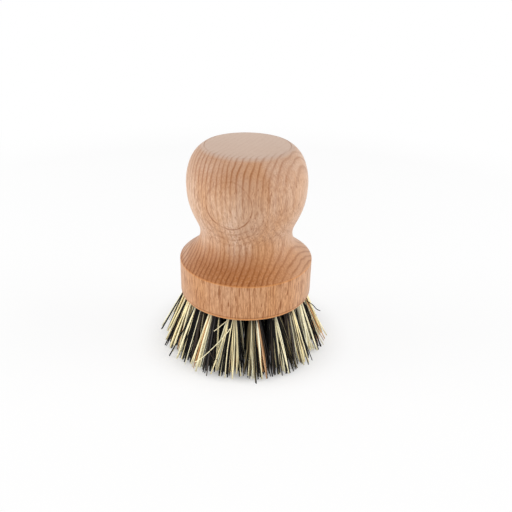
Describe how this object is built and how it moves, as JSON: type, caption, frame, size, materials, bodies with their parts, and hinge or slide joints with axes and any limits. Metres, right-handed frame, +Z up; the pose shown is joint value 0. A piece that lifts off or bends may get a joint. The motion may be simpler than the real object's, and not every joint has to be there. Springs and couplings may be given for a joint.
{
  "type": "palm brush",
  "caption": "Knob-handled palm brush: a turned beech grip with a drilled flange and a skirt of stiff plant fibre tufts for scrubbing pots and pans.",
  "frame": {"origin": "on the brush's axis, in the plane of the trimmed fibre tips that it stands on", "axes": "+Z up along the axis of the turned handle, from the fibre tips to the flat crown; X and Y are level"},
  "size_m": [0.076, 0.0756, 0.0948],
  "materials": {
    "beech": "sanded smooth, satin",
    "plant_fibre": "matte, mixed pale and dark",
    "anchor_wire": "drawn flat wire"
  },
  "bodies": {
    "root": {"anchors": "anchor_wire", "centre_tuft": "plant_fibre", "handle": "beech", "inner_tuft_01": "plant_fibre", "inner_tuft_02": "plant_fibre", "inner_tuft_03": "plant_fibre", "inner_tuft_04": "plant_fibre", "inner_tuft_05": "plant_fibre", "inner_tuft_06": "plant_fibre", "middle_tuft_01": "plant_fibre", "middle_tuft_02": "plant_fibre", "middle_tuft_03": "plant_fibre", "middle_tuft_04": "plant_fibre", "middle_tuft_05": "plant_fibre", "middle_tuft_06": "plant_fibre", "middle_tuft_07": "plant_fibre", "middle_tuft_08": "plant_fibre", "middle_tuft_09": "plant_fibre", "middle_tuft_10": "plant_fibre", "middle_tuft_11": "plant_fibre", "middle_tuft_12": "plant_fibre", "outer_tuft_01": "plant_fibre", "outer_tuft_02": "plant_fibre", "outer_tuft_03": "plant_fibre", "outer_tuft_04": "plant_fibre", "outer_tuft_05": "plant_fibre", "outer_tuft_06": "plant_fibre", "outer_tuft_07": "plant_fibre", "outer_tuft_08": "plant_fibre", "outer_tuft_09": "plant_fibre", "outer_tuft_10": "plant_fibre", "outer_tuft_11": "plant_fibre", "outer_tuft_12": "plant_fibre", "outer_tuft_13": "plant_fibre", "outer_tuft_14": "plant_fibre", "outer_tuft_15": "plant_fibre", "outer_tuft_16": "plant_fibre", "outer_tuft_17": "plant_fibre", "outer_tuft_18": "plant_fibre"}
  },
  "joints": []
}
